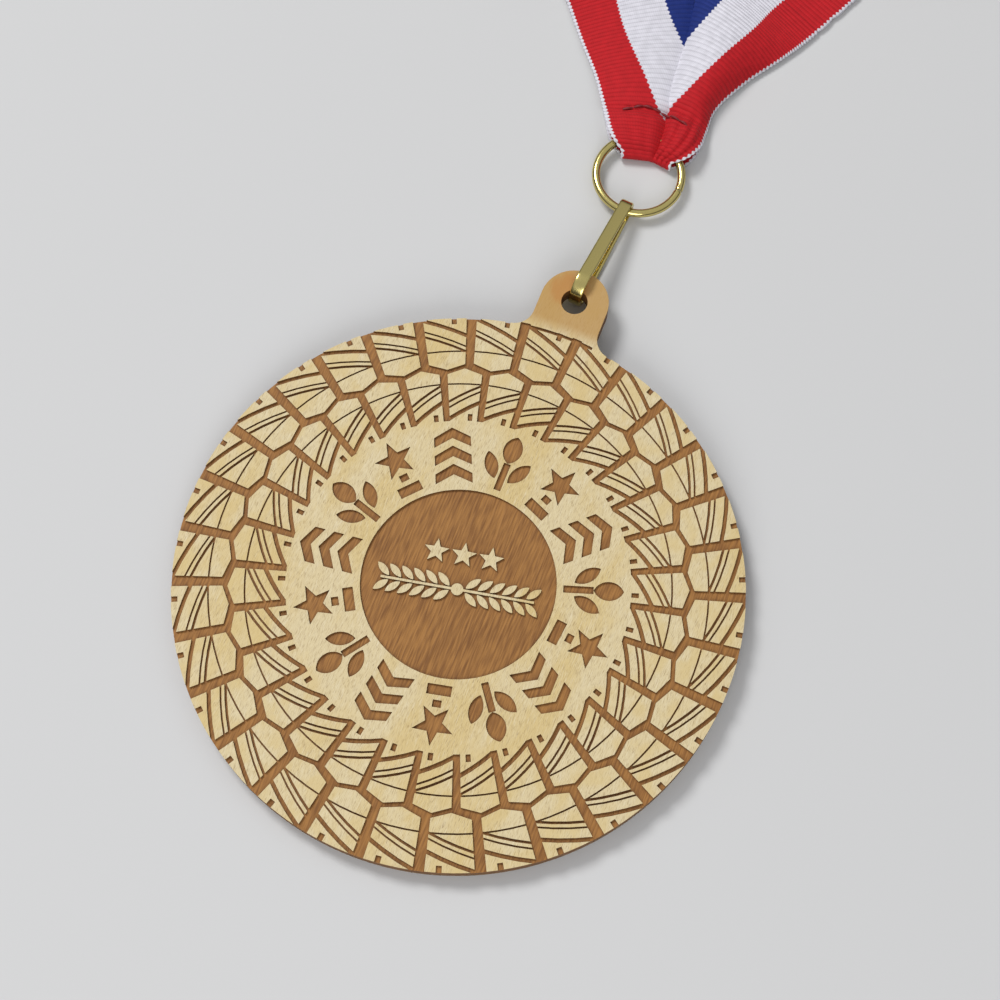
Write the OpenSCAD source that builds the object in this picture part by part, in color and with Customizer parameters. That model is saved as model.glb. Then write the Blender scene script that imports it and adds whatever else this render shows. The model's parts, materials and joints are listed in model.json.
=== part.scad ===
// Laser-cut plywood medal: a disc of three glued plies with an engraved tread pattern and a hanging lug,
// a flat brass link, a split ring of round wire and a striped neck ribbon sewn round the ring.
// The medal lies face up with its back on Z = 0 and its lug towards +Y. The link, the ring and the ribbon
// lie on the table top, which slopes down a little towards +Y because the lug is propped on the link.

/* [Disc] */
// Diameter of the disc
disc_d = 70; // [60:1:90]
// Thickness of the face ply
face_ply_t = 0.8; // [0.6:0.1:1.2]
// Thickness of the core ply
core_ply_t = 0.9; // [0.6:0.1:1.6]
// Thickness of the back ply
back_ply_t = 0.8; // [0.6:0.1:1.2]
// Depth of the laser engraving
engrave_depth = 0.3; // [0.1:0.05:0.5]

/* [Lug] */
// Diameter of the hole for the link
hole_d = 3.4; // [3.2:0.1:4.5]
// Width of the wood around the hole
lug_rim = 2.7; // [2.4:0.1:3.2]
// Distance from the edge of the disc to the hole's centre
hole_rise = 5; // [4.6:0.1:6]
// Radius where the lug's sides sweep out into the disc
lug_fillet = 2.6; // [1.5:0.1:3.5]
// Width of the engraved line that closes the tread under the lug
lug_line = 0.4; // [0.2:0.1:0.6]

/* [Tread pattern] */
// Number of tread blocks round the ring
blocks = 31; // [24:1:40]
// Inner edge of the tread, as a share of the disc's radius
tread_in = 0.602; // [0.58:0.002:0.64]
// Width of the wide grooves between blocks, as a share of a block
groove_share = 0.19; // [0.12:0.01:0.24]
// Turn of the first block, anticlockwise from the lug
tread_start = 19.5; // [0:0.5:360]
// Turn by which the pattern drifts round the ring, as one bent into a ring does
tread_drift = 1.7; // [0:0.1:3]

/* [Emblems] */
// Radius of the engraved centre
centre_r = 12; // [10:0.5:12.4]
// Number of ornaments between the centre and the tread
ornaments = 15; // [9:3:18]
// Distance of the ornaments' inner ends from the disc's centre
ornament_in = 12.8; // [12.6:0.1:13.4]
// Length of an ornament, towards the rim
ornament_len = 7.4; // [6:0.1:7.8]
// Turn of the raised emblem in the centre
emblem_turn = 11; // [-45:1:45]
// Width of the raised garland
garland_w = 21; // [15:0.5:22]
// Radius of the raised stars
star_r = 1.6; // [1:0.1:1.9]

/* [Link] */
// Width of the link's flat strip
strip_w = 1.7; // [1.2:0.1:2]
// Thickness of the link's flat strip
strip_t = 0.6; // [0.4:0.05:0.7]
// Clear height inside the bend that goes round the lug
lug_bend_gap = 4.1; // [4:0.1:5]
// Clear height inside the bend that holds the ring
ring_bend_gap = 1.6; // [1.4:0.1:2]
// Distance between the centres of the two bends
bend_spacing = 12.8; // [10:0.2:16]
// Swing of the link to the right of the lug's centre line
link_turn = 5; // [-12:1:12]

/* [Ring] */
// Outer diameter of the ring
ring_d = 12.4; // [11:0.1:16]
// Diameter of the ring's wire
wire_d = 1.1; // [0.9:0.05:1.2]
// Width of the split in the ring
split_w = 0.15; // [0.05:0.05:0.3]
// Place of the split, counted from +X
split_turn = -4; // [-20:1:25]

/* [Ribbon] */
// Width of the ribbon
ribbon_w = 32; // [25:1:38]
// Thickness of one layer of ribbon
ribbon_t = 0.45; // [0.3:0.05:0.6]
// Whole length of the ribbon
ribbon_len = 800; // [600:10:1000]
// Lean of the left half of the ribbon from the ring
left_lean = 37; // [30:1:40]
// Lean of the right half of the ribbon from the ring
right_lean = 25; // [20:1:30]
// Distance from the middle of the ring's wire to the folded edge of the sewn end
loop_drop = 3.9; // [3:0.1:4.5]
// Distance from the middle of the ring's wire to the point where the ribbon's outer edges would meet
v_drop = 7.7; // [6.5:0.1:9]
// Distance of the stitches from the middle of the ring's wire
stitch_rise = 4.2; // [4:0.1:6]
// Length of the row of stitches
stitch_row = 8; // [5:0.5:9]
// Number of stitches
stitches = 7; // [5:1:9]
// Diameter of the sewing thread
thread_d = 0.35; // [0.2:0.05:0.5]
// Distance from the ring's wire to the middle of the folded ribbon, away from the medal
stack_rise = 50; // [46:1:60]
// Distance of the middle of the folded ribbon to the left of the ring
stack_left = 3; // [0:0.5:8]
// Length of one fold of the stored ribbon
stack_len = 62.8; // [50:0.2:80]
// Turn of the folded ribbon against +X
stack_turn = 21.7; // [10:0.1:30]

/* [Hidden] */
$fn = 96;
disc_r = disc_d / 2;
ply_t = back_ply_t + core_ply_t + face_ply_t;
lug_r = hole_d / 2 + lug_rim;
hole_y = disc_r + hole_rise;
block_turn = 360 / blocks;

// Place of the cross groove between inner blocks, counted in outer blocks
inner_u = 0.403;

// The link pivots on the middle of the rim of wood between the hole and the top of the lug
rim_y = hole_y + (hole_d / 2 + lug_r) / 2;
link_half = lug_bend_gap / 2 + strip_t;
table_tilt = asin(link_half / norm([rim_y + disc_r, ply_t / 2])) - atan(ply_t / 2 / (rim_y + disc_r));
pivot_y = (rim_y + disc_r) * cos(table_tilt) - ply_t / 2 * sin(table_tilt) - disc_r;

// Towards the ring the legs close up, with the back leg flat on the table
leg_slope = asin((lug_bend_gap - ring_bend_gap) / 2 / bend_spacing);
// The link's legs run this far into its bends, so that the strip is one solid
leg_lap = 0.05;
ring_x = bend_spacing * cos(leg_slope) * sin(link_turn);
ring_z = strip_t + ring_bend_gap / 2;
wire_ring_r = (ring_d - wire_d) / 2;
ring_y = pivot_y + bend_spacing * cos(leg_slope) * cos(link_turn) + wire_ring_r;
wire_y = ring_y + wire_ring_r;

// The sewn end wraps the far side of the ring, and the ribbon flexes just beyond the wire
loop_top_z = ring_z + wire_d / 2 + 0.05;
loop_low_z = ring_z - wire_d / 2 - 0.2;
flex_y = wire_y + wire_d / 2 + 1.4;
flex_gap = 0.8;
v_tip_y = wire_y - v_drop;
table_gap = 0.05;
hem_t = 2 * ribbon_t;
seam_lean = (left_lean - right_lean) / 2;

// The rest of the ribbon's length is folded to and fro, a little looser than its own thickness
stack_folds = round((ribbon_len - 2 * (stack_rise + loop_drop)) / stack_len);
fold_t = ribbon_t + 0.15;

// A point at a radius and a clockwise angle from +Y
function on_disc(turn, r) = [r * sin(turn), r * cos(turn)];

// Angle of a place on the tread, counted in blocks
function tread_turn(u) = let (even = block_turn * u - tread_start) even - tread_drift * sin(even);

function tread_outline(k, points) = [for (p = points) on_disc(tread_turn(p[0] + k), p[1] * disc_r)];

// A groove of one width, straight on the unrolled tread, between two points (blocks, share of radius)
module tread_groove(k, from, to, half, steps = 3) {
    middle = [for (i = [0:steps]) from + (to - from) * i / steps];
    polygon(tread_outline(k, concat(
        [for (i = [0:steps]) middle[i] - [0, half]],
        [for (i = [steps:-1:0]) middle[i] + [0, half]])));
}

// A wide groove between two blocks, from one radius to another
module cross_groove(k, u, low, high) {
    half = groove_share / 2;
    tread_groove(k, [u - half, (low + high) / 2], [u + half, (low + high) / 2], (high - low) / 2, 2);
}

// Zigzag groove between the outer and the inner blocks. Its corners lie just inside the cross grooves.
module zigzag_groove() {
    corner = 0.8 * groove_share / 2;
    difference() {
        polygon([for (k = [0:blocks - 1]) each tread_outline(k,
            [[corner, 0.8255], [0.5, 0.8], [1 - corner, 0.8225]])]);
        polygon([for (k = [0:blocks - 1]) each tread_outline(k,
            [[-0.102, 0.804], [inner_u - corner, 0.7815], [inner_u + corner, 0.7815]])]);
    }
}

// Grooves of one outer block and the inner block beside it
module block_grooves(k) {
    cross_groove(k, 0, 0.81, 1.01);
    tread_groove(k, [0.08, 0.871], [0.92, 0.871], 0.003);
    tread_groove(k, [0.08, 0.999], [0.92, 0.9325], 0.008);
    tread_groove(k, [0.08, 0.955], [0.92, 0.889], 0.0035);
    tread_groove(k, [0.08, 0.9345], [0.92, 0.87], 0.005);
    tread_groove(k, [0.625, 0.992], [0.722, 0.992], 0.015, 1);

    cross_groove(k, inner_u, tread_in, 0.79);
    tread_groove(k, [0.49, 0.744], [1.316, 0.744], 0.003);
    tread_groove(k, [0.49, 0.676], [1.316, 0.738], 0.005);
    tread_groove(k, [0.49, 0.654], [1.316, 0.717], 0.004);
    tread_groove(k, [0.49, tread_in + 0.01], [1.316, 0.674], 0.009);
    tread_groove(k, [1.03, tread_in + 0.014], [1.165, tread_in + 0.014], 0.013, 1);
}

// Pointed leaf from the origin along +Y
module leaf(length, width) {
    r = (length * length + width * width) / (4 * width);
    translate([0, length / 2]) intersection() {
        translate([r - width / 2, 0]) circle(r);
        translate([width / 2 - r, 0]) circle(r);
    }
}

module star(r) {
    polygon([for (i = [0:9]) on_disc(36 * i, i % 2 == 0 ? r : 0.42 * r)]);
}

// Ornaments stand on the origin and reach ornament_len along +Y
module sprig() {
    leaf_len = 0.5 * ornament_len;
    translate([-0.45, 0]) square([0.9, 0.5 * ornament_len]);
    translate([0, 0.5 * ornament_len]) leaf(leaf_len, 2.4);
    for (s = [-1, 1]) translate([s * 0.85, 0.18 * ornament_len]) rotate(-s * 32) leaf(leaf_len, 1.7);
}

module star_on_bar() {
    translate([0, ornament_len - 2.5]) star(2.6);
    translate([-1.5, 0]) square([3, 1.3]);
    translate([-0.55, 1.9]) square([1.1, 0.9]);
}

module chevrons() {
    for (y = [0, 2.4, 4.8]) translate([0, y / 7.4 * ornament_len])
        polygon([[-2.3, 0], [0, 1.2], [2.3, 0], [2.3, 1.3], [0, 2.6], [-2.3, 1.3]]);
}

module ornament_ring() {
    for (i = [0:3:ornaments - 1]) {
        rotate(-360 * i / ornaments) translate([0, ornament_in]) sprig();
        rotate(-360 * (i + 1) / ornaments) translate([0, ornament_in]) star_on_bar();
        rotate(-360 * (i + 2) / ornaments) translate([0, ornament_in]) chevrons();
    }
}

// Raised emblem: three stars over a garland of leaves
module emblem() {
    pairs = 6;
    leaf_gap = (garland_w - 3) / 2 / pairs;
    rotate(emblem_turn) {
        for (i = [-1:1]) translate([i * (2 * star_r + 0.2), 3.6]) star(star_r);
        translate([-garland_w / 2 + 1, -0.95]) square([garland_w - 2, 0.3]);
        for (s = [-1, 1], i = [0:pairs - 1], t = [-1, 1])
            translate([s * (1 + leaf_gap * i), -0.8 + t * 0.28]) rotate(-s * (90 - t * 42)) leaf(2.2, 0.85);
        translate([0, -0.8]) circle(0.75);
    }
}

// The lug's line closes the pattern where the disc's edge runs on into the lug
module lug_closing_line() {
    intersection() {
        difference() { circle(disc_r + lug_line / 2); circle(disc_r - lug_line / 2); }
        translate([-lug_r, 0]) square([2 * lug_r, disc_d]);
    }
}

module engraving() {
    zigzag_groove();
    for (k = [0:blocks - 1]) block_grooves(k);
    ornament_ring();
    lug_closing_line();
    difference() { circle(centre_r); emblem(); }
}

module medal_outline() {
    fillet_x = lug_r + lug_fillet;
    fillet_y = sqrt(pow(disc_r + lug_fillet, 2) - fillet_x * fillet_x);
    foot_x = fillet_x * disc_r / (disc_r + lug_fillet);
    difference() {
        union() {
            circle(disc_r, $fn = 180);
            difference() {
                translate([-foot_x, 0]) square([2 * foot_x, fillet_y]);
                for (s = [-1, 1]) translate([s * fillet_x, fillet_y]) circle(lug_fillet);
            }
            translate([-lug_r, 0]) square([2 * lug_r, hole_y]);
            translate([0, hole_y]) circle(lug_r);
        }
        translate([0, hole_y]) circle(d = hole_d);
    }
}

// Places a piece that lies on the table top, whose Z = 0 touches the disc's lower edge
module on_table() {
    translate([0, -disc_r, 0]) rotate([-table_tilt, 0, 0]) translate([0, disc_r, 0]) children();
}

module face_ply() {
    color("burlywood") translate([0, 0, back_ply_t + core_ply_t]) difference() {
        linear_extrude(face_ply_t) medal_outline();
        translate([0, 0, face_ply_t - engrave_depth]) linear_extrude(engrave_depth + 1) engraving();
    }
}

module core_ply() {
    color("peru") translate([0, 0, back_ply_t]) linear_extrude(core_ply_t) medal_outline();
}

module back_ply() {
    color("burlywood") linear_extrude(back_ply_t) medal_outline();
}

// Section of the link's strip: X from its inner face outwards, Y across its width, with eased edges
module strip_section() {
    ease = 0.16;
    difference() {
        translate([0, -strip_w / 2]) square([strip_t, strip_w]);
        for (s = [-1, 1]) translate([strip_t, s * strip_w / 2]) rotate(45) square(2 * ease, center = true);
    }
}

// One bend of the link round an axis along X, open towards +Y
module strip_bend(gap, half_sweep) {
    rotate([90, 0, 90]) rotate(180 - half_sweep) rotate_extrude(angle = 2 * half_sweep)
        translate([gap / 2, 0]) strip_section();
}

module oval_link() {
    leg_len = bend_spacing * cos(leg_slope);
    color("gold") on_table() translate([0, pivot_y, link_half]) rotate([-leg_slope, 0, -link_turn]) {
        strip_bend(lug_bend_gap, 90 + leg_slope);
        translate([0, bend_spacing, 0]) mirror([0, 1, 0]) strip_bend(ring_bend_gap, 90 - leg_slope);
        for (s = [-1, 1]) rotate([-s * leg_slope, 0, 0])
            translate([0, -leg_lap, s * lug_bend_gap / 2]) rotate([-90, 0, 0])
            linear_extrude(leg_len + 2 * leg_lap) rotate(-s * 90) strip_section();
    }
}

module split_ring() {
    split_angle = 2 * asin(split_w / 2 / wire_ring_r);
    color("gold") on_table() translate([ring_x, ring_y, ring_z]) rotate(split_turn + split_angle / 2)
        rotate_extrude(angle = 360 - split_angle) translate([wire_ring_r, 0]) circle(d = wire_d, $fn = 32);
}

// Outline of the sewn end, from its folded edge to the line where the ribbon flexes
module loop_outline() {
    translate([ring_x, wire_y]) polygon([
        [-2.7, -loop_drop], [3.8, 0.7 - loop_drop], [5.7, 0.2], [5.8, flex_y - flex_gap - wire_y],
        [-6.9, flex_y - flex_gap - wire_y], [-5.1, -2.2]]);
}

// The layers pass over and under the wire and meet in the fold
module sewn_loop() {
    color("firebrick") on_table() difference() {
        translate([0, 0, loop_low_z - ribbon_t]) linear_extrude(loop_top_z + 2 * ribbon_t - loop_low_z)
            loop_outline();
        translate([ring_x - ribbon_w / 2, wire_y - loop_drop + hem_t, loop_low_z])
            cube([ribbon_w, ribbon_w, loop_top_z - loop_low_z]);
    }
}

// The middle of the folded ribbon, with its length along X
module at_stack() {
    translate([ring_x - stack_left, wire_y + stack_rise]) rotate(stack_turn) children();
}

// Half of the ribbon, side = -1 for the left, between its outer edge, the seam, the flex line and the stack
module band(side, lean) {
    reach = 2 * stack_rise;
    intersection() {
        translate([ring_x, v_tip_y]) rotate(-side * lean) translate([min(0, -side * ribbon_w), 0])
            square([ribbon_w, reach]);
        translate([ring_x, v_tip_y]) rotate(seam_lean) translate([min(0, side * reach), 0]) square(reach);
        translate([-reach, flex_y + flex_gap]) square(2 * reach);
        at_stack() translate([-stack_len / 2, ribbon_w / 2 - reach]) square([stack_len, reach]);
    }
}

module neck_ribbon() {
    color("crimson") on_table() translate([0, 0, table_gap]) {
        linear_extrude(hem_t) {
            band(-1, left_lean);
            band(1, right_lean);
        }
        translate([0, 0, hem_t]) linear_extrude(stack_folds * fold_t)
            at_stack() square([stack_len, ribbon_w], center = true);
    }
}

// Stitches half sunk into the ribbon
module stitching() {
    spacing = stitch_row / (stitches - 1);
    row_x = ring_x - 0.55 * stitch_row;
    color("darkred") on_table() for (i = [0:stitches - 1])
        translate([row_x + spacing * i, wire_y + stitch_rise, table_gap + hem_t]) rotate([0, 90, 0])
            cylinder(d = thread_d, h = 0.8 * spacing, center = true, $fn = 16);
}

face_ply();
core_ply();
back_ply();
oval_link();
split_ring();
sewn_loop();
neck_ribbon();
stitching();
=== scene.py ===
"""Laser-engraved plywood medal with a brass link, a split ring and a striped neck ribbon.

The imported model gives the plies, the places and the joints. The link, the ring, the ribbon and its stitches
are worked out here as surfaces, in millimetres on the table top, and every piece gets its own material.
"""

import json
import math

import bpy
import numpy as np
from bpy.props import FloatProperty, FloatVectorProperty, IntProperty, PointerProperty
from bpy.types import Operator, Panel, PropertyGroup
from mathutils import Euler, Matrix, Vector


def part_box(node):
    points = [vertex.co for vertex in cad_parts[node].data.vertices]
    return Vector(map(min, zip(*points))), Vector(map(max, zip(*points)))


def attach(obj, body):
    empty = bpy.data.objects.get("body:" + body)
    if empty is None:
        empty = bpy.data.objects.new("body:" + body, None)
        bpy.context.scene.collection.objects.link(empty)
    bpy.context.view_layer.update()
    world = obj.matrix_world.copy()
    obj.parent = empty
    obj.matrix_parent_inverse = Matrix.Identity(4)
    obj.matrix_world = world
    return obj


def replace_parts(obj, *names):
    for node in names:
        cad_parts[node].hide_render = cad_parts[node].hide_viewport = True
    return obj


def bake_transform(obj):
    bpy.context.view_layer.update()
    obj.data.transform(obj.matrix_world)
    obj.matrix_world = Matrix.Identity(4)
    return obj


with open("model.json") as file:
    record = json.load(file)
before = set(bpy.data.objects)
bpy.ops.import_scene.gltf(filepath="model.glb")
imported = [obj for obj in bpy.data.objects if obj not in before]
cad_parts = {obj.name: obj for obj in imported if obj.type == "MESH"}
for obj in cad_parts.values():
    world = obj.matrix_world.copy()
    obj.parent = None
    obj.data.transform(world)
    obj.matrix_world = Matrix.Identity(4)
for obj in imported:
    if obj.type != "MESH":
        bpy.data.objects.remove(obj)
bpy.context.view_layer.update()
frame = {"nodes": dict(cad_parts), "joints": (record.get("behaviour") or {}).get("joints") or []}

bl_info = {
    "name": "Plywood medal",
    "version": (1, 0, 0),
    "blender": (4, 5, 0),
    "location": "3D View > Sidebar > Medal",
    "description": "Builds an engraved plywood medal with its link, ring and neck ribbon",
    "category": "Object",
}

MM = 0.001


def linear(hex_colour):
    """A colour given as sRGB hex, such as #C8242B, as linear red, green, blue and alpha."""
    parts = [int(hex_colour[i:i + 2], 16) / 255 for i in (1, 3, 5)]
    return tuple(c / 12.92 if c <= 0.04045 else ((c + 0.055) / 1.055) ** 2.4 for c in parts) + (1.0,)


def colour_property(name, description, hex_colour):
    return FloatVectorProperty(
        name=name, description=description, subtype="COLOR", size=4, min=0, max=1, default=linear(hex_colour))


def size_property(name, description, millimetres):
    return FloatProperty(name=name, description=description, unit="LENGTH", min=0, default=millimetres * MM)


# ---------------------------------------------------------------- settings

class MedalWood(PropertyGroup):
    scan_pitch: size_property("Scan pitch", "Distance between the laser's scan lines", 0.25)
    pore_width: size_property("Pore width", "Width of the veneer's pores and fine grain", 0.1)
    grain_turn: FloatProperty(
        name="Grain turn", description="Turn of the grain from +Y", subtype="ANGLE", default=math.radians(7))
    pale: colour_property("Pale wood", "Clean birch veneer", "#D3C299")
    yellow: colour_property("Yellow wood", "Yellower patches of the veneer", "#CDB57C")
    pore: colour_property("Pores", "Fine dark pores", "#8C7046")
    burnt: colour_property("Engraved wood", "Floor of the engraving", "#A27138")
    burnt_dark: colour_property("Engraved wood, dark", "Darker streaks of the engraving", "#774C20")
    # The char colour also carries the painted shade at the foot of the engraved walls
    char: colour_property("Char", "Laser-cut walls and outlines", "#5E3B1C")
    smoke: colour_property("Smoke stain", "Scorched wood round the hole", "#B27A3C")
    bright: colour_property("Bright wood", "Bright fibres of the veneer", "#E4DAC0")
    lug: colour_property("Lug", "Warmer wood of the lug", "#AE8444")
    core: colour_property("Core", "Darker patches of the middle ply", "#B98F58")


class MedalBrass(PropertyGroup):
    strip_width: size_property("Strip width", "Width of the link's strip", 1.7)
    strip_thickness: size_property("Strip thickness", "Thickness of the link's strip", 0.6)
    lug_bend: size_property("Lug bend", "Clear height inside the bend round the lug", 4.1)
    ring_bend: size_property("Ring bend", "Clear height inside the bend round the ring", 1.6)
    bend_spacing: size_property("Bend spacing", "Distance between the centres of the bends", 12.8)
    link_turn: FloatProperty(
        name="Link turn", description="Lean of the link to the right", subtype="ANGLE", default=math.radians(5))
    wire: size_property("Wire", "Diameter of the ring's wire", 1.1)
    ring: size_property("Ring", "Outer diameter of the ring", 12.4)
    split: size_property("Split", "Gap between the ring's ends", 0.15)
    split_turn: FloatProperty(
        name="Split turn", description="Place of the split from +X", subtype="ANGLE", default=math.radians(-4))
    plating: colour_property("Plating", "Pale brass plating", "#D2C27C")


class MedalRibbon(PropertyGroup):
    width: size_property("Width", "Width of the ribbon", 32)
    length: size_property("Length", "Whole length of the ribbon", 800)
    thickness: size_property("Thickness", "Thickness of one layer", 0.45)
    rib_pitch: size_property("Rib pitch", "Distance between the ribs", 0.6)
    rib_height: size_property("Rib height", "Height of a rib over the groove beside it", 0.09)
    picot: size_property("Picot", "Width of the white looped edge", 0.32)
    left_lean: FloatProperty(
        name="Left lean", description="Lean of the left half", subtype="ANGLE", default=math.radians(37))
    right_lean: FloatProperty(
        name="Right lean", description="Lean of the right half", subtype="ANGLE", default=math.radians(25))
    fold_length: size_property("Fold length", "Length of the folded ribbon", 62.8)
    fold_rise: size_property("Fold rise", "Distance from the ring to the middle of the folded ribbon", 50)
    fold_left: size_property("Fold shift", "Distance of the folded ribbon to the left of the ring", 3)
    fold_turn: FloatProperty(
        name="Fold turn", description="Turn of the folded ribbon", subtype="ANGLE", default=math.radians(21.7))
    fold_layers: IntProperty(name="Folds", description="Full folds in each of the two piles", default=9, min=1)
    layer_pitch: size_property("Layer pitch", "Height of one folded layer", 0.6)
    red: colour_property("Red", "Outer stripes", "#BC1A22")
    white: colour_property("White", "Stripes beside the middle and the looped edges", "#DCDAE2")
    blue: colour_property("Blue", "Middle stripe", "#1D3078")
    thread: colour_property("Thread", "Sewing thread", "#7E121A")
    # Painted shade for the hollows of the thread's twist
    thread_hollow_shade: colour_property("Thread, dark", "Hollows of the thread's twist", "#5A0D14")


class MedalStudio(PropertyGroup):
    table: colour_property("Table", "Pale grey table top", "#CACACA")
    sky_low: colour_property("Low light", "Light of the room from low down", "#4C4C50")
    sky_high: colour_property("High light", "Light of the room from above", "#F2F3F5")
    lens: FloatProperty(name="Lens", description="Focal length of the camera", unit="CAMERA", default=70.0)


# ---------------------------------------------------------------- places on the table

disc_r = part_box("back_ply")[1].x / MM
pivot, near_wire = (Vector(j["pos_m"]) / MM for j in frame["joints"][:2])

# The medal lies propped on its link, so the table slopes away under it: this is the angle between them
table_tilt = math.radians(1.028)


def on_table(points):
    """Points in millimetres on the table top (x, y, height) as metres in the medal's frame.

    The table turns by its tilt about the line along X that touches the disc's lower edge.
    """
    p = np.asarray(points, float)
    run = p[..., 1] + disc_r
    c, s = math.cos(table_tilt), math.sin(table_tilt)
    return np.stack([p[..., 0], run * c + p[..., 2] * s - disc_r, p[..., 2] * c - run * s], -1) * MM


def from_medal(points):
    """Points in millimetres in the medal's frame as millimetres on the table top."""
    p = np.asarray(points, float)
    run, c, s = p[..., 1] + disc_r, math.cos(table_tilt), math.sin(table_tilt)
    return np.stack([p[..., 0], run * c - p[..., 2] * s - disc_r, run * s + p[..., 2] * c], -1)


# ---------------------------------------------------------------- mesh helpers

def unit(v):
    return v / np.linalg.norm(v, axis=-1, keepdims=True)


def grid_faces(rows, columns, close_rows, close_columns, start=0):
    """Quads of a grid of rows x columns vertices, numbered row by row from start."""
    r = np.arange(rows if close_rows else rows - 1)[:, None]
    c = np.arange(columns if close_columns else columns - 1)[None, :]
    r2, c2 = (r + 1) % rows, (c + 1) % columns
    quads = np.stack([r * columns + c, r2 * columns + c, r2 * columns + c2, r * columns + c2], -1)
    return quads.reshape(-1, 4) + start


def make_piece(name, vertices, faces, body, slot, material, uv=None):
    """One object with its mesh in metres in the medal's frame, riding on a body (none if body is None)."""
    mesh = bpy.data.meshes.new(name)
    mesh.from_pydata(vertices.reshape(-1, 3), [], faces.tolist() if hasattr(faces, "tolist") else faces)
    if uv is not None:
        layer = mesh.uv_layers.new(name="cloth")
        loops = np.zeros(len(mesh.loops), np.int32)
        mesh.loops.foreach_get("vertex_index", loops)
        layer.data.foreach_set("uv", uv.reshape(-1, 2)[loops].astype(np.float32).ravel())
    mesh.polygons.foreach_set("use_smooth", np.ones(len(mesh.polygons), bool))
    mesh.materials.append(material)
    mesh.update()
    piece = bpy.data.objects.new(name, mesh)
    bpy.context.scene.collection.objects.link(piece)
    if body is not None:
        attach(piece, body)
    return piece


def tube(path, radii, sides, cap=False):
    """A round tube along a path, with one radius for each point of it: centre + r (cos a * n + sin a * b).

    n and b are carried along the path square to it, starting from the direction nearest the vertical.
    """
    tangent = unit(np.gradient(path, axis=0))
    up = np.array([0, 0, 1.0]) + 1e-3
    n = unit(np.cross(np.cross(tangent, up), tangent))
    b = np.cross(tangent, n)
    angle = np.linspace(0, 2 * np.pi, sides, endpoint=False)
    ring = np.cos(angle)[None, :, None] * n[:, None] + np.sin(angle)[None, :, None] * b[:, None]
    points = path[:, None] + np.asarray(radii)[:, None, None] * ring
    faces = grid_faces(len(path), sides, False, True)[:, ::-1].tolist()
    if cap:
        last = (len(path) - 1) * sides
        faces += [list(range(sides)), [last + i for i in range(sides - 1, -1, -1)]]
    return points, faces


# ---------------------------------------------------------------- surfaces of the link and the ring

def link_mesh(brass):
    """A flat strip bent into a closed oval: two bends joined by straight legs tangent to both.

    The centre line runs round a large circle at the lug and a small one at the ring. Every point of it carries
    a rounded rectangle, |x|^4/a^4 + |n|^4/b^4 = 1, whose n side is square to the line.
    """
    half_t, half_w = brass.strip_thickness / MM / 2, brass.strip_width / MM / 2
    big, small = brass.lug_bend / MM / 2 + half_t, brass.ring_bend / MM / 2 + half_t
    far = brass.bend_spacing / MM
    slope = math.asin((big - small) / far)
    lug_angle = np.linspace(math.pi / 2 - slope, 1.5 * math.pi + slope, 64)
    ring_angle = np.linspace(slope - math.pi / 2, math.pi / 2 - slope, 40)
    leg = np.linspace(0, 1, 26)[1:-1, None]

    def bend(angle, radius, y):
        n = np.stack([np.cos(angle), np.sin(angle)], -1)
        return np.array([y, 0]) + radius * n, n

    lug_p, lug_n = bend(lug_angle, big, 0)
    ring_p, ring_n = bend(ring_angle, small, far)
    path = np.concatenate([lug_p, lug_p[-1] + (ring_p[0] - lug_p[-1]) * leg, ring_p,
                           ring_p[-1] + (lug_p[0] - ring_p[-1]) * leg])
    normal = np.concatenate([lug_n, np.repeat(lug_n[-1:], 24, 0), ring_n, np.repeat(ring_n[-1:], 24, 0)])
    round_angle = np.linspace(0, 2 * np.pi, 40, endpoint=False)
    c, s = np.cos(round_angle), np.sin(round_angle)
    x = half_w * np.sign(c) * np.abs(c) ** 0.35
    t = half_t * np.sign(s) * np.abs(s) ** 0.5
    flat = path[:, None] + normal[:, None] * t[None, :, None]
    local = np.stack([np.broadcast_to(x, flat.shape[:2]), flat[..., 0], flat[..., 1]], -1)
    turn = np.array(Euler((-slope, 0, -brass.link_turn)).to_matrix())
    return on_table(from_medal(pivot) + local @ turn.T), grid_faces(len(path), len(x), True, True)


def ring_mesh(brass):
    """A round wire bent into a circle, open at the split: a tube along an arc, its ends a little rounded."""
    wire = brass.wire / MM / 2
    radius = brass.ring / MM / 2 - wire
    near = from_medal(near_wire)
    centre = np.array([near[0], near[1] + radius, near[2]])
    half_gap = brass.split / MM / 2 / radius
    angle = np.linspace(half_gap, 2 * np.pi - half_gap, 260) + brass.split_turn
    path = centre + radius * np.stack([np.cos(angle), np.sin(angle), 0 * angle], -1)
    inset = np.minimum(np.arange(len(angle)), np.arange(len(angle))[::-1]) * (angle[1] - angle[0]) * radius
    ends = wire - 0.1 * np.clip(1 - inset / 0.14, 0, 1) ** 2
    points, faces = tube(path, ends, 36, cap=True)
    return on_table(points), faces


# ---------------------------------------------------------------- surface of the ribbon

# Where the two halves would meet if they ran on straight
V_TIP = np.array([1.06, 58.7])

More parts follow.
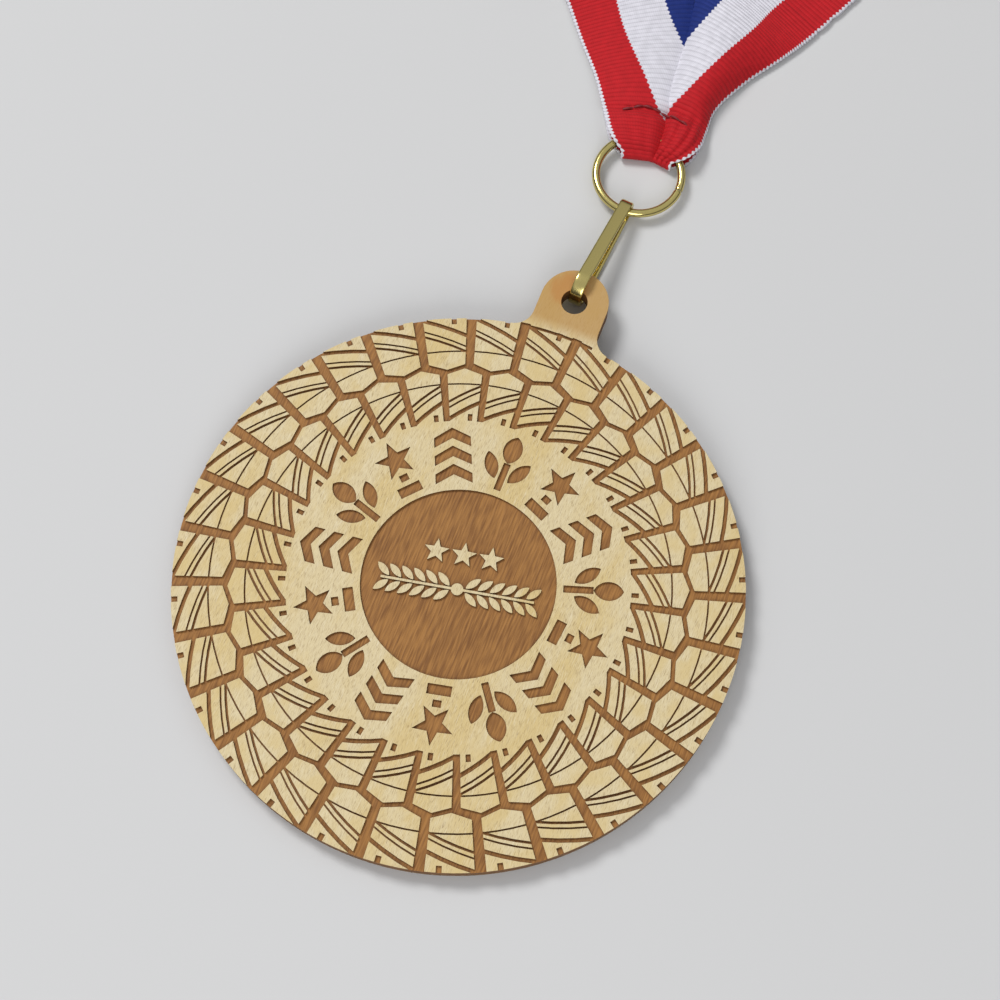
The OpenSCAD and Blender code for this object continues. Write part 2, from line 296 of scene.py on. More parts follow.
# Stations up each half from the folded end, in mm: distance from the tip, outer edge x and y, seam x and y,
# width of ribbon between them, height over the table at the outer edge, four tenths in, and at the seam, and
# how strongly the cloth steepens, and so looks narrower, towards its outer edge
LEFT_STATIONS = np.array([
    (5.0, -2.1, 63.8, 2.1, 65.0, 6.2, 1.6, 1.6, 1.35, 0.0),
    (6.4, -3.6, 64.6, 2.1, 66.0, 6.2, 2.4, 2.5, 2.1, 0.0),
    (8.6, -5.0, 66.2, 2.0, 67.8, 6.2, 2.1, 2.75, 2.2, 0.0),
    (10.6, -6.0, 67.9, 1.8, 69.6, 6.5, 1.6, 2.7, 2.1, 0.0),
    (12.5, -6.9, 69.4, 1.4, 71.4, 7.7, 1.3, 2.4, 1.9, 0.0),
    (17.0, -9.2, 73.1, 0.4, 77.6, 10.6, 0.9, 2.2, 1.5, 0.15),
    (24.0, -13.4, 78.3, -0.5, 86.4, 15.3, 0.6, 1.7, 0.75, 0.15),
    (30.6, -17.2, 83.2, -2.6, 94.2, 18.4, 0.5, 1.2, 0.5, 0.0)])
RIGHT_STATIONS = np.array([
    (5.0, 4.5, 64.4, 2.0, 64.9, 5.6, 1.6, 1.3, 1.3, 0.0),
    (6.4, 6.1, 65.3, 2.1, 66.0, 5.8, 2.4, 2.5, 1.95, 0.1),
    (8.6, 7.2, 67.7, 2.0, 67.8, 6.0, 1.9, 2.8, 2.1, 0.25),
    (11.6, 7.2, 70.5, 1.4, 71.4, 6.6, 1.1, 2.6, 1.9, 0.45),
    (15.5, 7.1, 74.3, 0.6, 75.7, 9.3, 0.7, 3.1, 1.5, 0.55),
    (21.0, 9.4, 79.9, 0.0, 83.3, 13.2, 0.5, 3.3, 0.8, 0.4),
    (27.0, 12.8, 85.1, -1.0, 91.2, 16.6, 0.5, 2.4, 0.6, 0.2),
    (34.2, 15.5, 89.7, -3.0, 98.3, 20.5, 0.5, 1.2, 0.5, 0.0)])
# In mm: how far the left half laps over the right one, the stitches' distance from the tip, and the height over
# the table of the layer under the wire and of the ribbon where it lies flat
SEAM_LAP = 0.35
STITCH_S = 12.0
UNDER_H = 0.32
FLAT_H = 0.5

# The ends of the stitches on the table in mm, from left to right, and the rows of each end of the ribbon's grid
# that pass under them
STITCH_ENDS = np.array([(-4.2, 69.3), (-2.9, 70.1), (-1.7, 70.75), (-0.4, 70.9), (0.8, 70.85), (2.1, 70.55),
                        (3.5, 70.2), (4.8, 69.7)])
SEWN_ROWS = 600


def smooth(stations, s):
    """A smooth curve through the stations' values: cubic pieces whose slopes are those of the neighbours."""
    x, y = stations[:, 0], stations[:, 1:]
    slope = np.gradient(y, x, axis=0)
    i = np.clip(np.searchsorted(x, s) - 1, 0, len(x) - 2)
    h = (x[i + 1] - x[i])[:, None]
    t = ((s - x[i]) / (x[i + 1] - x[i]))[:, None]
    return ((1 + 2 * t) * (1 - t) ** 2 * y[i] + t * (1 - t) ** 2 * h * slope[i]
            + t * t * (3 - 2 * t) * y[i + 1] + t * t * (t - 1) * h * slope[i + 1])


def half_stations(ribbon, side):
    """The stations of one half, run on straight under the folded ribbon, where both edges are flat again."""
    lean = ribbon.left_lean if side < 0 else ribbon.right_lean
    along = np.array([side * math.sin(lean), math.cos(lean)])
    inward = np.array([-side * math.cos(lean), math.sin(lean)])
    widen = math.tan((ribbon.left_lean + ribbon.right_lean) / 2)
    stations = LEFT_STATIONS if side < 0 else RIGHT_STATIONS
    s = stations[-1, 0] + np.array([6, 12, 19, 26, 60, 100.0])
    w = np.minimum(ribbon.width / MM, widen * s)
    outer = V_TIP + s[:, None] * along
    seam = outer + w[:, None] * inward
    flat = np.tile([FLAT_H, FLAT_H, FLAT_H, 0.0], (len(s), 1))
    return np.concatenate([stations, np.column_stack([s, outer, seam, w, flat])]), along, inward


def half_sheet(ribbon, side, s, q, stations):
    """One half of the V on a grid: s is the distance from its tip, q the share of the way in from the edge.

    A point lies on the straight line from the outer edge to the seam. Its height runs smoothly through those
    at the outer edge, a third of the way in and the seam, and dips where the thread draws the cloth down.
    """
    v = smooth(stations, s)
    # The left half laps a little over the right one along the seam
    outer, seam, w_seam = v[:, None, 0:2], v[:, None, 2:4] - [side * SEAM_LAP, 0], v[:, 4]
    h0, h1, h2 = (v[:, i][:, None] for i in (5, 6, 7))
    share = q - v[:, 8:9] * q * (1 - q)
    plan = outer + (seam - outer) * share[..., None]
    # A quadratic through q = 0, 0.4 and 1, with the seam drawn down into a narrow valley
    qq = q[None, :]
    rise = (h0 * (qq - 0.4) * (qq - 1) / 0.4 + h1 * qq * (qq - 1) / (0.4 * -0.6)
            + h2 * qq * (qq - 0.4) / 0.6)
    valley = (0.35 + 0.06 * side) * np.exp(-((1 - qq) * w_seam[:, None] / 0.9) ** 2)
    valley = valley * np.clip((40 - s[:, None]) / 10, 0, 1)
    drawn = 0.45 * np.exp(-((s[:, None] - STITCH_S) / 0.9) ** 2) * np.clip(qq * 3, 0, 1)
    # Below the stitches the right half is pleated lengthways, and the two halves meet in a furrow
    low = np.clip((STITCH_S + 2 - s[:, None]) / 4, 0, 1)
    pleat = (0.1 + 0.06 * side) * np.sin(2 * np.pi * qq * 4 + 0.6) * low * np.clip(qq * 4, 0, 1)
    furrow = 0.4 * np.exp(-((1 - qq) * w_seam[:, None] / 0.5) ** 2) * low
    return plan, rise - valley - drawn + pleat - furrow, q[None, :] * w_seam[:, None]


def fold_over(plan, height, crease_point, crease_normal, step):
    """Folds the sheet back over a line: what lies beyond the line is mirrored across it, one step higher,
    joined by half a turn of radius step / 2. The half turn is centred on the line, so lengths are kept."""
    r = step / 2
    d = (plan - crease_point) @ crease_normal
    turned = np.clip((d + math.pi * r / 2) / r, 0, math.pi)
    shift = np.where(turned >= math.pi, -2 * d, np.where(
        turned <= 0, 0, r * np.sin(turned) - math.pi * r / 2 - d))
    return plan + shift[..., None] * crease_normal, height + r * (1 - np.cos(turned))


def zigzag(ribbon, first, last, levels):
    """The line of the folded middle in its long section, as (distance along it, height) with the length run.

    It sets out on the first level, turns up past the second, goes back and forth over the others, and comes
    down round the whole pile to the second level.
    """
    pitch, half = ribbon.layer_pitch / MM, ribbon.fold_length / MM / 2
    near, far = -(half - 2.2), half - 0.7
    points = []

    def run(u0, u1, z, steps=14):
        points.append(np.stack([np.linspace(u0, u1, steps), np.full(steps, z)], -1))

    def turn(u, z0, z1, side, bulge, steps=9):
        a = np.linspace(-math.pi / 2, math.pi / 2, steps)[1:-1]
        height = (z0 + z1) / 2 + (z1 - z0) / 2 * np.sin(a)
        points.append(np.stack([u + side * bulge * np.cos(a) ** 0.5, height], -1))

    run(first, far - 0.8, levels[1])
    turn(far - 0.4, levels[1], levels[3], 1, pitch)
    for level in range(3, 3 + ribbon.fold_layers):
        back = level % 2 == 1
        top = level == 2 + ribbon.fold_layers
        wander = 0.5 * math.sin(2.3 * level)
        start, end = (far - 0.9, near + 0.4 + wander) if back else (near + 0.4, far - 0.9)
        run(start, end if not top else near, levels[level])
        if not top:
            turn(end, levels[level], levels[level + 1], -1 if back else 1, pitch / 2)
    turn(near, levels[2 + ribbon.fold_layers], levels[2], -1, 2.0, steps=25)
    run(near + 0.5, last, levels[2])
    line = np.concatenate(points)
    length = np.concatenate([[0], np.cumsum(np.linalg.norm(np.diff(line, axis=0), axis=1))])
    return line, length


def ribbon_mesh(ribbon):
    """The whole ribbon as one sheet: rows along it, columns across it, with (distance, width) kept as its UV.

    From one sewn end it passes under the ring's wire, folds up over it, widens into the left half of the V,
    folds over a slanting crease, goes back and forth in the folded pile, and returns down the right half.
    """
    width = ribbon.width / MM
    t = np.linspace(0, 1, 37)
    q = 0.55 * t + 0.45 * (0.5 - 0.5 * np.cos(np.pi * t))
    pitch = ribbon.layer_pitch / MM
    levels = FLAT_H + 0.05 + pitch * np.arange(3 + ribbon.fold_layers)
    turn = ribbon.fold_turn
    u = np.array([math.cos(turn), math.sin(turn)])
    v = np.array([-u[1], u[0]])
    radius = ribbon_ring_radius()
    near = from_medal(near_wire)
    far_wire = near[:2] + np.array([0, 2 * radius])
    pile = far_wire + np.array([-ribbon.fold_left, ribbon.fold_rise]) / MM
    blocks = []
    for side in (-1, 1):
        stations, along, inward = half_stations(ribbon, side)
        # The crease turns the half's direction into the pile's, and passes through the middle of the ribbon
        heading = -side * u
        crease = unit(along + heading)
        normal = along - (along @ crease) * crease
        normal = unit(normal)
        mid = V_TIP + inward * width / 2
        # Distance along the half at which its middle line meets the pile's
        run = ((pile - mid) @ v) / (along @ v)
        centre = mid + run * along
        rows = np.concatenate([np.arange(5, 36, 0.12), np.arange(36, run - 22, 0.5),
                               np.arange(run - 22, run + 22, 0.35)])
        plan, height, w = half_sheet(ribbon, side, rows, q, stations)
        step = levels[1] - FLAT_H if side < 0 else levels[2] - FLAT_H
        plan, height = fold_over(plan, height, centre, normal, step)
        # Round ribs with narrow grooves between them, only where the cloth isn't folded away
        rib = np.abs(np.sin(np.pi * rows / (ribbon.rib_pitch / MM)))[:, None] ** 0.7
        seen = np.clip((38 - rows[:, None]) / 3, 0, 1)
        height = height + ribbon.rib_height / MM * (rib - 0.5) * seen * np.clip((w + 0.3) / 0.5, 0.3, 1)
        # The looped edge bulges out once for every rib
        bump = 0.22 * (rib - 0.4) * np.exp(-(w / 0.35) ** 2)
        plan = plan - bump[..., None] * inward
        # Under the wire: the same outline one thickness over the table, and a half turn up to the top layer
        low_s = np.arange(STITCH_S + 0.8, 5, -0.4)
        low_plan, _, low_w = half_sheet(ribbon, side, low_s, q, stations)
        low_h = np.full(low_plan.shape[:2], UNDER_H)
        a = np.linspace(-np.pi / 2, np.pi / 2, 11)[1:-1, None]
        top_h, end_plan = height[0], plan[0]
        out = unit(np.array([0.12, -1.0]))
        arc_h = (UNDER_H + top_h) / 2 + (top_h - UNDER_H) / 2 * np.sin(a)
        arc_plan = end_plan + 0.45 * np.cos(a)[..., None] * out
        arc_w = np.broadcast_to(w[0], arc_h.shape)
        s_all = np.concatenate([10 - low_s - 1.5, 5 - np.linspace(1.3, 0.2, len(a)), rows])
        block = (np.concatenate([low_plan, arc_plan, plan]), np.concatenate([low_h, arc_h, height]),
                 np.concatenate([low_w, arc_w, w]), s_all, (centre - pile) @ u)
        blocks.append(block)
    left, right = blocks
    # The pile takes over where each half has run 22 mm past the middle of its crease
    line, length = zigzag(ribbon, left[4] + 22.3, right[4] - 22.3, levels)
    across = (q - 0.5) * width
    pile_plan = pile + line[:, None, :1] * u + across[None, :, None] * v
    pile_h = np.broadcast_to(line[:, 1:2], pile_plan.shape[:2])
    wander = 0.35 * np.sin(line[:, 1:2] * 5.1) * np.clip((line[:, 1:2] - levels[2]) / pitch, 0, 1)
    pile_plan = pile_plan + wander[..., None] * v
    pile_w = np.broadcast_to(q * width, pile_h.shape)
    start = left[3][-1] + 0.3
    pile_s = start + length
    right_s = pile_s[-1] + 0.3 + (right[3][-1] - right[3][::-1])
    plan = np.concatenate([left[0], pile_plan, right[0][::-1]])
    height = np.concatenate([left[1], pile_h, right[1][::-1]])
    w = np.concatenate([left[2], pile_w, right[2][::-1]])
    s = np.concatenate([left[3], pile_s, right_s])
    points = on_table(np.concatenate([plan, height[..., None]], -1))
    uv = np.stack([w * MM, np.broadcast_to(s[:, None], w.shape) * MM], -1)
    return points, grid_faces(len(s), len(q), False, False), uv


def stitch_mesh(ribbon_points):
    """Short stitches one after another across the gathered end, laid on the cloth, whose grid is in metres.

    Each is a tube along a straight line between two ends, as high as the highest cloth beside it plus half a
    sine wave. Its radius swells from both ends to the middle as the root of a sine.
    """
    ends = np.concatenate([ribbon_points[:SEWN_ROWS], ribbon_points[-SEWN_ROWS:]]).reshape(-1, 3) / MM
    cloth = from_medal(ends[(ends[:, 1] > 66) & (ends[:, 1] < 74)])
    t = np.linspace(0, 1, 12)[:, None]
    radius = 0.17 * np.sin(np.pi * (0.12 + 0.76 * t[:, 0])) ** 0.5
    points, faces, start = [], [], 0
    for a, b in zip(STITCH_ENDS[:-1], STITCH_ENDS[1:]):
        plan = a + (b - a) * (0.04 + 0.92 * t)
        near = np.linalg.norm(plan[:, None] - cloth[None, :, :2], axis=2) < 0.45
        lift = np.where(near, cloth[None, :, 2], 0).max(1)
        lift = lift + (lift.mean() - lift) * 0.4 + 0.12 + 0.12 * np.sin(np.pi * t[:, 0])
        tube_points, tube_faces = tube(np.column_stack([plan, lift]), radius, 12, cap=True)
        points.append(tube_points.reshape(-1, 3))
        faces += [[i + start for i in face] for face in tube_faces]
        start += len(points[-1])
    return on_table(np.concatenate(points)), faces


def ribbon_ring_radius():
    """Radius of the ring's centre line in mm."""
    brass = bpy.context.scene.medal_brass
    return (brass.ring - brass.wire) / 2 / MM


# ---------------------------------------------------------------- materials

def add(tree, kind, links=None, **settings):
    """Adds a shader node. links sets its inputs by name or number, to a socket or a constant."""
    node = tree.nodes.new(kind)
    for key, value in settings.items():
        setattr(node, key, value)
    for key, value in (links or {}).items():
        if isinstance(value, bpy.types.NodeSocket):
            tree.links.new(value, node.inputs[key])
        else:
            node.inputs[key].default_value = value
    return node


def new_material(name):
    """An empty material and its node tree."""
    material = bpy.data.materials.new(name)
    material.use_nodes = True
    material.node_tree.nodes.clear()
    return material, material.node_tree


def mix(tree, factor, a, b, blend="MIX"):
    """The mix of two colours."""
    return add(tree, "ShaderNodeMix", {0: factor, 6: a, 7: b},
               data_type="RGBA", blend_type=blend).outputs[2]


def math_node(tree, operation, a, b=0.0, clamp=False):
    """A sum, product or other figure from two values."""
    return add(tree, "ShaderNodeMath", {0: a, 1: b}, operation=operation, use_clamp=clamp).outputs[0]


def ramp(tree, value, low, high, to_low=0.0, to_high=1.0):
    """The value taken smoothly from the range low-high to to_low-to_high."""
    return add(tree, "ShaderNodeMapRange", {0: value, 1: low, 2: high, 3: to_low, 4: to_high},
               interpolation_type="SMOOTHSTEP").outputs[0]


def streaks(tree, coordinate, turn, across, along, detail=2.0, distortion=0.0):
    """Noise drawn out along a direction turned from +Y: across and along are its marks' sizes in metres."""
    mapped = add(tree, "ShaderNodeMapping", {
        "Vector": coordinate, "Rotation": (0, 0, turn), "Scale": (1 / across, 1 / along, 1 / across)})
    return add(tree, "ShaderNodeTexNoise", {
        "Vector": mapped.outputs[0], "Scale": 1.0, "Detail": detail, "Distortion": distortion}).outputs[0]


def finish_surface(tree, colour, roughness, height=None, distance=0.0, **sockets):
    """A Principled surface with an optional bump, whose distance is in metres."""
    links = {"Base Color": colour, "Roughness": roughness, **sockets}
    if height is not None:
        links["Normal"] = add(tree, "ShaderNodeBump", {
            "Height": height, "Distance": distance, "Strength": 1.0}).outputs[0]
    shader = add(tree, "ShaderNodeBsdfPrincipled", links)
    add(tree, "ShaderNodeOutputMaterial", {0: shader.outputs[0]})
    return shader


def face_wood(wood):
    """Birch plywood face, laser engraved: pale sanded veneer with short pores, burnt brown where it is cut,
    with painted shade in the corners of the engraving.
    """
    material, tree = new_material("birch_ply_laser_engraved")
    place = add(tree, "ShaderNodeTexCoord").outputs["Object"]
    split = add(tree, "ShaderNodeSeparateXYZ", {0: place})
    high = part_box("face_ply")[1]
    # Pale veneer: slow yellow figure along the grain, then fine fibres, then the dark dashes of the pores
    figure = streaks(tree, place, wood.grain_turn, 0.005, 0.016, 4)
    fibre = streaks(tree, place, wood.grain_turn, wood.pore_width, wood.pore_width * 9, 3)
    dash = streaks(tree, place, wood.grain_turn, wood.pore_width * 1.2, wood.pore_width * 9, 1)
    light = streaks(tree, place, wood.grain_turn, wood.pore_width * 1.1, wood.pore_width * 14, 2)
    pale = mix(tree, ramp(tree, figure, 0.46, 0.66, 0, 0.85), wood.pale, wood.yellow)
    pale = mix(tree, ramp(tree, light, 0.5, 0.75, 0, 0.4), pale, wood.bright)
    pale = mix(tree, ramp(tree, fibre, 0.46, 0.7, 0, 0.35), pale, wood.pore)
    pale = mix(tree, ramp(tree, dash, 0.6, 0.72, 0, 0.5), pale, wood.pore)
    # Smoke yellows the wood between the cuts of the tread
    out = add(tree, "ShaderNodeVectorMath", {0: add(tree, "ShaderNodeCombineXYZ", {
        0: split.outputs[0], 1: split.outputs[1]}).outputs[0]}, operation="LENGTH").outputs["Value"]
    tread = ramp(tree, out, 0.0185, 0.0215)
    smoky = ramp(tree, streaks(tree, place, wood.grain_turn, 0.0022, 0.0035, 3), 0.42, 0.66, 0, 0.6)
    pale = mix(tree, math_node(tree, "MULTIPLY", tread, smoky), pale, wood.yellow)
    # The lug's veneer is a little warmer, and smoke has stained it beside the hole
    lug = ramp(tree, split.outputs[1], 0.0345, 0.037)
    pale = mix(tree, math_node(tree, "MULTIPLY", lug, 0.8), pale, wood.lug)
    hole = Vector((-0.0012, 0.0412, high.z))
    near = add(tree, "ShaderNodeVectorMath", {0: place, 1: hole}, operation="DISTANCE").outputs["Value"]
    blot = streaks(tree, place, wood.grain_turn, 0.001, 0.002, 3)
    ragged = math_node(tree, "ADD", near, math_node(tree, "MULTIPLY", blot, 0.0024))
    stain = ramp(tree, ragged, 0.0042, 0.0026)
    pale = mix(tree, math_node(tree, "MULTIPLY", stain, 0.7), pale, wood.smoke)
    # Engraved wood: scan lines one way, darker streaks of grain the other, and slow blotches
    scan_turn = math.radians(79)
    scan = streaks(tree, place, scan_turn, wood.scan_pitch, 0.004, 1)
    streak = streaks(tree, place, wood.grain_turn, wood.pore_width * 2, 0.0022, 1)
    blotch = streaks(tree, place, wood.grain_turn, 0.004, 0.004, 4)
    dark = math_node(tree, "ADD", scan, streak)
    dark = math_node(tree, "ADD", dark, math_node(tree, "MULTIPLY", blotch, 0.5))
    burnt = mix(tree, ramp(tree, dark, 0.85, 1.7), wood.burnt, wood.burnt_dark)
    # The beam dwells on the edge of each pocket and burns a dark line at the foot of the wall. The
    # ambient-occlusion mask that draws it is partly painted shade: it darkens every hemmed-in corner, narrow
    # grooves most.
    corner = add(tree, "ShaderNodeAmbientOcclusion", {"Distance": 0.00042},
                 samples=8, only_local=True).outputs[1]
    char_and_corner_shade = ramp(tree, corner, 0.95, 0.45)
    burnt = mix(tree, math_node(tree, "MULTIPLY", char_and_corner_shade, 0.42), burnt, wood.char)
    deep = ramp(tree, split.outputs[2], high.z - 0.12 * MM, high.z - 0.02 * MM, 1, 0)
    colour = mix(tree, deep, pale, burnt)
    normal = add(tree, "ShaderNodeSeparateXYZ", {0: add(tree, "ShaderNodeNewGeometry").outputs["True Normal"]})
    wall = ramp(tree, math_node(tree, "ABSOLUTE", normal.outputs[2]), 0.5, 0.9, 0.6, 0)
    colour = mix(tree, wall, colour, wood.char)
    height = math_node(tree, "ADD", math_node(tree, "MULTIPLY", fibre, 0.5),
                       math_node(tree, "MULTIPLY", math_node(tree, "MULTIPLY", scan, deep), 2.0))
    finish_surface(tree, colour, 0.62, height, 0.000022, IOR=1.5, **{"Specular IOR Level": 0.35})
    return material


def plain_ply(name, wood, body_colour, edge_strength):
    """Birch ply whose cut edge is charred brown by the laser and whose flat faces stay pale."""
    material, tree = new_material(name)
    place = add(tree, "ShaderNodeTexCoord").outputs["Object"]
    figure = streaks(tree, place, wood.grain_turn, 0.006, 0.03, 3)
    fibre = streaks(tree, place, wood.grain_turn, wood.pore_width, wood.pore_width * 12, 3)
    pale = mix(tree, ramp(tree, figure, 0.4, 0.65), wood.pale, body_colour)
    pale = mix(tree, ramp(tree, fibre, 0.5, 0.7, 0, 0.35), pale, wood.pore)
    normal = add(tree, "ShaderNodeSeparateXYZ", {0: add(tree, "ShaderNodeNewGeometry").outputs["True Normal"]})
    burn = streaks(tree, place, 0.0, 0.0007, 0.0007, 2)
    wall = ramp(tree, math_node(tree, "ABSOLUTE", normal.outputs[2]), 0.5, 0.9, edge_strength, 0)
    char = mix(tree, ramp(tree, burn, 0.3, 0.7), wood.burnt_dark, wood.char)
    colour = mix(tree, wall, pale, char)
    finish_surface(tree, colour, 0.65, fibre, 0.00003, IOR=1.5, **{"Specular IOR Level": 0.35})
    return material


def plated_brass(brass):
    """Brass-plated steel, tumbled and lacquered: metallic, nearly smooth, with faint drawing marks."""
    material, tree = new_material("brass_plated_steel")
    place = add(tree, "ShaderNodeTexCoord").outputs["Object"]
    wear = streaks(tree, place, 0.0, 0.0012, 0.0012, 3)
    fine = streaks(tree, place, brass.link_turn, 0.00008, 0.0012, 2)
    rough = ramp(tree, wear, 0.3, 0.7, 0.13, 0.24)
    finish_surface(tree, brass.plating, rough, fine, 0.000002, Metallic=1.0)
    return material


def woven_ribbon(ribbon):
    """Polyester grosgrain: dull satin ribs across it in coloured stripes, with soft sheen at the edges."""
    material, tree = new_material("polyester_grosgrain")
    cloth = add(tree, "ShaderNodeUVMap", uv_map="cloth").outputs[0]
    split = add(tree, "ShaderNodeSeparateXYZ", {0: cloth})
    across, along = split.outputs[0], split.outputs[1]
    phase = math_node(tree, "MULTIPLY", along, 2 * math.pi / ribbon.rib_pitch)
    # Each rib carries its colours a little over the next stripe, so that the border waves once for every rib
    wave = math_node(tree, "MULTIPLY", math_node(tree, "COSINE", phase), ribbon.rib_pitch * 0.17)
    place = math_node(tree, "ADD", across, wave)
    folded = math_node(tree, "MINIMUM", place, math_node(tree, "SUBTRACT", ribbon.width, place))
    stripe = ribbon.width / 5

    def border(at):
        return ramp(tree, folded, at - 0.00006, at + 0.00006)

    colour = mix(tree, border(stripe), ribbon.red, ribbon.white)
    colour = mix(tree, border(2 * stripe), colour, ribbon.blue)
    colour = mix(tree, border(ribbon.picot), ribbon.white, colour)
    # Painted shade in the grooves between the ribs, and warp threads as short marks along them, with painted
    # shade between the threads
    rib = math_node(tree, "ABSOLUTE", math_node(tree, "SINE", math_node(tree, "MULTIPLY", phase, 0.5)))
    shade = ramp(tree, rib, 0.0, 0.65, 0.8, 1.0)
    threads = math_node(tree, "SINE", math_node(tree, "MULTIPLY", across, 2 * math.pi / 0.00028))
    thread_shade = ramp(tree, threads, -1, 1, 0.93, 1.0)
    patch = add(tree, "ShaderNodeTexNoise", {"Vector": cloth, "Scale": 900.0, "Detail": 2.0}).outputs[0]
    tone = math_node(tree, "MULTIPLY", math_node(tree, "MULTIPLY", shade, thread_shade),
                     ramp(tree, patch, 0.3, 0.7, 0.92, 1.04))
    grey = add(tree, "ShaderNodeCombineXYZ", {0: tone, 1: tone, 2: tone}).outputs[0]
    colour = mix(tree, 1.0, colour, grey, "MULTIPLY")
    height = math_node(tree, "ADD", rib, math_node(tree, "MULTIPLY", threads, 0.15))
    finish_surface(tree, colour, 0.72, height, 0.00005, **{
        "Sheen Weight": 0.05, "Sheen Roughness": 0.4, "Specular IOR Level": 0.2})
    return material


def sewing_thread(ribbon):
    """Polyester sewing thread: dark red, twisted, slightly shiny."""
    material, tree = new_material("polyester_thread")
    place = add(tree, "ShaderNodeTexCoord").outputs["Object"]
    twist = streaks(tree, place, 0.8, 0.00012, 0.0006, 2)
    # Painted shade in the hollows of the twist: the darker thread colour where the twist's streaks run high
    colour = mix(tree, ramp(tree, twist, 0.35, 0.65, 0, 0.45), ribbon.thread, ribbon.thread_hollow_shade)
    finish_surface(tree, colour, 0.55, twist, 0.00003)
    return material


def table_top(studio):
    """Plain matt painted board."""
    material, tree = new_material("matt_painted_board")
    finish_surface(tree, studio.table, 0.9, **{"Specular IOR Level": 0.1})
    return material


# ---------------------------------------------------------------- operators

class MEDAL_OT_wood(Operator):
    """Give the three plies their woods"""
    bl_idname = "medal.wood"
    bl_label = "Finish the plies"

    def execute(self, context):
        wood = context.scene.medal_wood
        looks = {
            "face_ply": (face_wood(wood), "engraved_veneer"),
            "core_ply": (plain_ply("birch_ply_core", wood, wood.core, 0.95), "core_veneer"),
            "back_ply": (plain_ply("birch_ply_back", wood, wood.yellow, 0.9), "back_veneer"),
        }
        for node, (material, slot) in looks.items():
            piece = frame["nodes"][node]
            piece.data.materials.clear()
            piece.data.materials.append(material)
        return {"FINISHED"}


class MEDAL_OT_brass(Operator):
    """Build the link and the split ring"""
    bl_idname = "medal.brass"
    bl_label = "Build link and ring"

    def execute(self, context):
        brass = context.scene.medal_brass
        material = plated_brass(brass)
        for name, node, body, slot, mesh in (
                ("oval_link_smooth", "oval_link", "link", "link_brass", link_mesh(brass)),
                ("split_ring_smooth", "split_ring", "ring", "ring_brass", ring_mesh(brass))):
            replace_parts(make_piece(name, *mesh, body, slot, material), node)
        return {"FINISHED"}


class MEDAL_OT_ribbon(Operator):
    """Build the ribbon and its stitches"""
    bl_idname = "medal.ribbon"
    bl_label = "Build ribbon and stitches"

    def execute(self, context):
        ribbon = context.scene.medal_ribbon
        points, faces, uv = ribbon_mesh(ribbon)
        piece = make_piece("grosgrain_ribbon", points, faces, None, "ribbon_cloth", woven_ribbon(ribbon), uv)
        solid = piece.modifiers.new("thickness", "SOLIDIFY")
        solid.thickness, solid.offset = ribbon.thickness * 0.7, 0.0
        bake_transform(piece)
        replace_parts(piece, "neck_ribbon", "sewn_loop")
        mesh = stitch_mesh(points)
        stitches = make_piece("row_of_stitches", *mesh, "ribbon", "sewing_thread", sewing_thread(ribbon))
        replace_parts(stitches, "stitching")
        return {"FINISHED"}


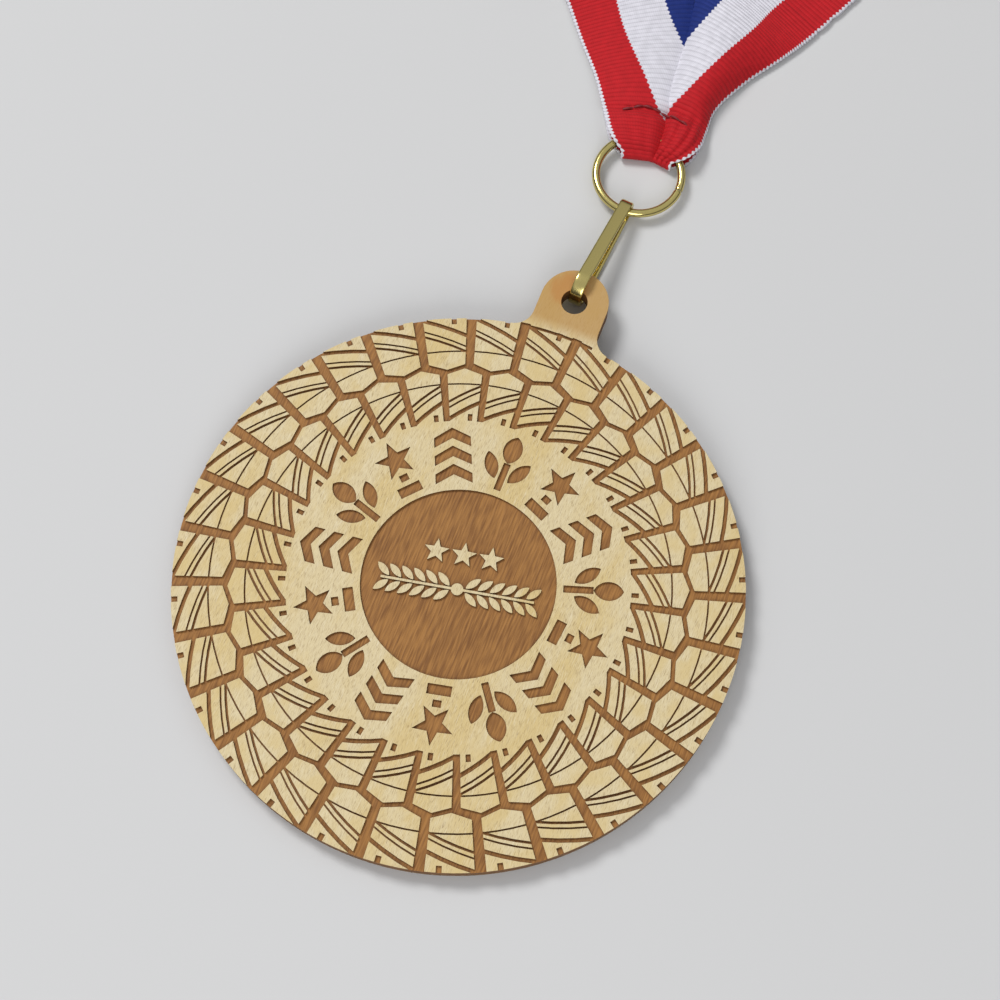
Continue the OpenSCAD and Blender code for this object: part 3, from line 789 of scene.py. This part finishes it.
class MEDAL_OT_studio(Operator):
    """Set up the table, the soft light and the camera"""
    bl_idname = "medal.studio"
    bl_label = "Set up table and light"

    def execute(self, context):
        studio, scene = context.scene.medal_studio, context.scene
        side = 1500.0
        corners = np.array([(-side, -side, 0), (side, -side, 0), (side, side, 0), (-side, side, 0)])
        mesh = bpy.data.meshes.new("table")
        mesh.from_pydata(on_table(corners), [], [(0, 1, 2, 3)])
        mesh.materials.append(table_top(studio))
        floor = bpy.data.objects.new("table", mesh)
        scene.collection.objects.link(floor)

        def soft_box(name, place, size, watts):
            lamp = bpy.data.lights.new(name, "AREA")
            lamp.shape, lamp.size, lamp.energy = "DISK", size, watts
            light = bpy.data.objects.new(name, lamp)
            light.location = place
            light.rotation_euler = (Vector((0, 0.02, 0)) - light.location).to_track_quat("-Z", "Y").to_euler()
            scene.collection.objects.link(light)

        soft_box("key", (-0.62, 0.36, 0.86), 0.4, 7.5)
        soft_box("fill", (0.1, -0.5, 0.35), 0.4, 1.6)
        world = scene.world or bpy.data.worlds.new("studio")
        scene.world = world
        world.use_nodes = True
        tree = world.node_tree
        tree.nodes.clear()
        direction = add(tree, "ShaderNodeTexCoord").outputs["Generated"]
        up = add(tree, "ShaderNodeSeparateXYZ", {0: direction}).outputs[2]
        glow = mix(tree, ramp(tree, up, 0.1, 0.8), studio.sky_low, studio.sky_high)
        add(tree, "ShaderNodeOutputWorld", {
            0: add(tree, "ShaderNodeBackground", {0: glow, 1: 0.62}).outputs[0]})
        camera = bpy.data.objects.new("camera", bpy.data.cameras.new("camera"))
        camera.data.lens, camera.data.sensor_width = studio.lens, 36.0
        camera.data.clip_start, camera.data.clip_end = 0.01, 20
        camera.location = Vector((29.036, -57.322, 230.769)) * MM
        camera.rotation_euler = Euler([math.radians(a) for a in (18.0972, 0.2643, 21.3864)])
        scene.collection.objects.link(camera)
        scene.camera = camera
        scene.view_settings.view_transform = "Standard"
        return {"FINISHED"}


class MEDAL_PT_panel(Panel):
    """Medal settings"""
    bl_idname = "MEDAL_PT_panel"
    bl_label = "Plywood medal"
    bl_space_type = "VIEW_3D"
    bl_region_type = "UI"
    bl_category = "Medal"

    def draw(self, context):
        scene = context.scene
        for title, group, operator in (
                ("Wood", scene.medal_wood, "medal.wood"), ("Brass", scene.medal_brass, "medal.brass"),
                ("Ribbon", scene.medal_ribbon, "medal.ribbon"), ("Studio", scene.medal_studio, "medal.studio")):
            box = self.layout.box()
            box.label(text=title)
            for name in group.__annotations__:
                box.prop(group, name)
            box.operator(operator)


GROUPS = {"medal_wood": MedalWood, "medal_brass": MedalBrass, "medal_ribbon": MedalRibbon,
          "medal_studio": MedalStudio}
CLASSES = (*GROUPS.values(), MEDAL_OT_wood, MEDAL_OT_brass, MEDAL_OT_ribbon, MEDAL_OT_studio, MEDAL_PT_panel)


def register():
    for cls in CLASSES:
        bpy.utils.register_class(cls)
    for name, group in GROUPS.items():
        setattr(bpy.types.Scene, name, PointerProperty(type=group))


def unregister():
    for name in GROUPS:
        delattr(bpy.types.Scene, name)
    for cls in reversed(CLASSES):
        bpy.utils.unregister_class(cls)


def main():
    register()
    for build in (bpy.ops.medal.wood, bpy.ops.medal.brass, bpy.ops.medal.ribbon, bpy.ops.medal.studio):
        if build() != {"FINISHED"}:
            raise RuntimeError(f"{build.idname()} did not finish")


if __name__ == "__main__":
    main()
